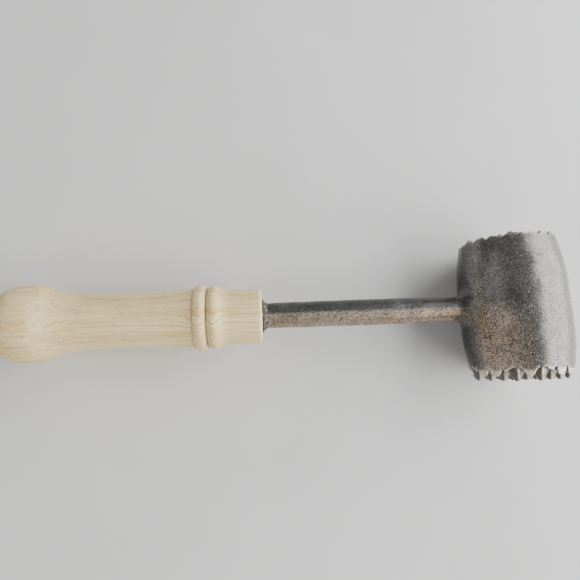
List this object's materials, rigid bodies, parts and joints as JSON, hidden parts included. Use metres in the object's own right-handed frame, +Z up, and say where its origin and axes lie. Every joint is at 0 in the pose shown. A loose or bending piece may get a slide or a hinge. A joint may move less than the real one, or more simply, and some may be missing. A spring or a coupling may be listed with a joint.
{
  "type": "meat mallet",
  "caption": "Cast-iron meat tenderizer mallet with a fine and a coarse toothed striking face and a turned wooden handle.",
  "frame": {"origin": "Middle of the bounding box at its underside, on the surface the mallet lies on.", "axes": "+X runs along the mallet from the knob of the handle to the head, +Y through the head from the coarse striking face to the fine one, +Z up from the surface."},
  "size_m": [0.2714, 0.0694, 0.0508],
  "materials": {
    "iron": "worn, as cast, with bare tooth tips",
    "wood": "raw, unvarnished",
    "filler": "matt"
  },
  "bodies": {
    "root": {"casting": "iron", "handle": "wood", "adhesive": "filler"}
  },
  "joints": []
}
